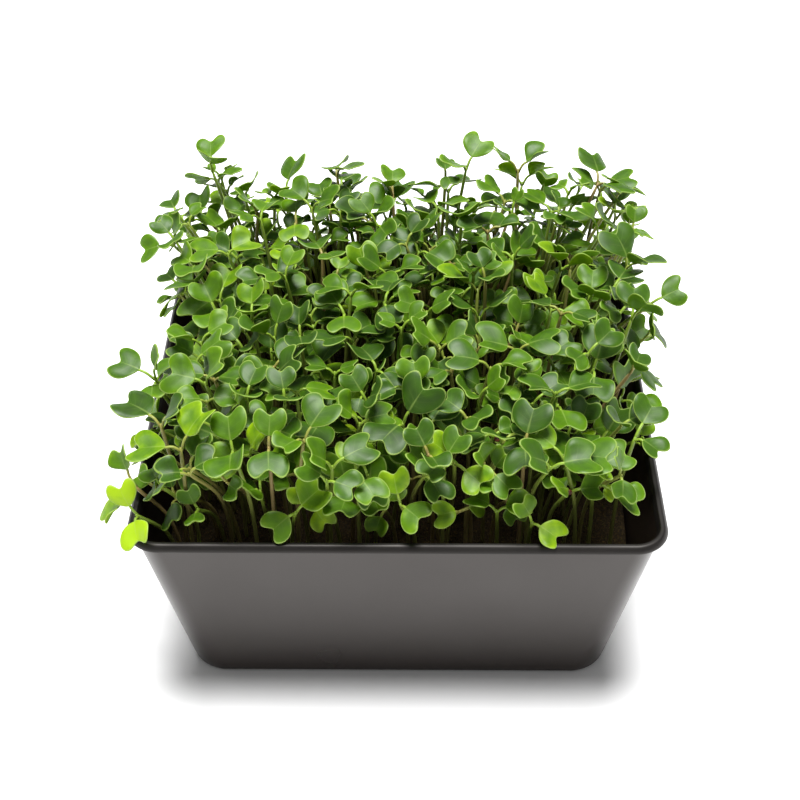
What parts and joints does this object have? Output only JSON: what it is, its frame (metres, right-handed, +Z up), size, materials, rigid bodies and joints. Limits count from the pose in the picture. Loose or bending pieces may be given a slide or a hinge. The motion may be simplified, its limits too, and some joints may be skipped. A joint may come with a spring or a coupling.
{
  "type": "microgreens tray",
  "caption": "Square tapered black tray filled with growing medium and a dense stand of young brassica seedlings, each a slender stem with two heart-shaped seed leaves.",
  "frame": {"origin": "centre of the tray's flat underside, on the surface that it stands on", "axes": "+Z up; +X to the right and +Y to the back, as seen from the side that the picture shows; the tray's walls are square to X and Y"},
  "size_m": [0.1827, 0.1657, 0.1157],
  "materials": {
    "black_plastic": "satin black moulded plastic",
    "peat": "moist crumbly peat and coir",
    "seedling_green": "waxy leaf"
  },
  "bodies": {
    "root": {"tray": "black_plastic", "growing_medium": "peat", "seedling_clump_01": "seedling_green", "seedling_clump_02": "seedling_green", "seedling_clump_03": "seedling_green", "seedling_clump_04": "seedling_green", "seedling_clump_05": "seedling_green", "seedling_clump_06": "seedling_green", "seedling_clump_07": "seedling_green", "seedling_clump_08": "seedling_green", "seedling_clump_09": "seedling_green", "seedling_clump_10": "seedling_green", "seedling_clump_11": "seedling_green", "seedling_clump_12": "seedling_green", "seedling_clump_13": "seedling_green", "seedling_clump_14": "seedling_green", "seedling_clump_15": "seedling_green", "seedling_clump_16": "seedling_green", "seedling_clump_17": "seedling_green", "seedling_clump_18": "seedling_green", "seedling_clump_19": "seedling_green", "seedling_clump_20": "seedling_green", "seedling_clump_21": "seedling_green", "seedling_clump_22": "seedling_green", "seedling_clump_23": "seedling_green", "seedling_clump_24": "seedling_green", "seedling_clump_25": "seedling_green", "seedling_clump_26": "seedling_green", "seedling_clump_27": "seedling_green", "seedling_clump_28": "seedling_green", "seedling_clump_29": "seedling_green", "seedling_clump_30": "seedling_green", "seedling_clump_31": "seedling_green", "seedling_clump_32": "seedling_green", "seedling_clump_33": "seedling_green", "seedling_clump_34": "seedling_green", "seedling_clump_35": "seedling_green", "seedling_clump_36": "seedling_green", "seedling_clump_37": "seedling_green", "seedling_clump_38": "seedling_green", "seedling_clump_39": "seedling_green"}
  },
  "joints": []
}
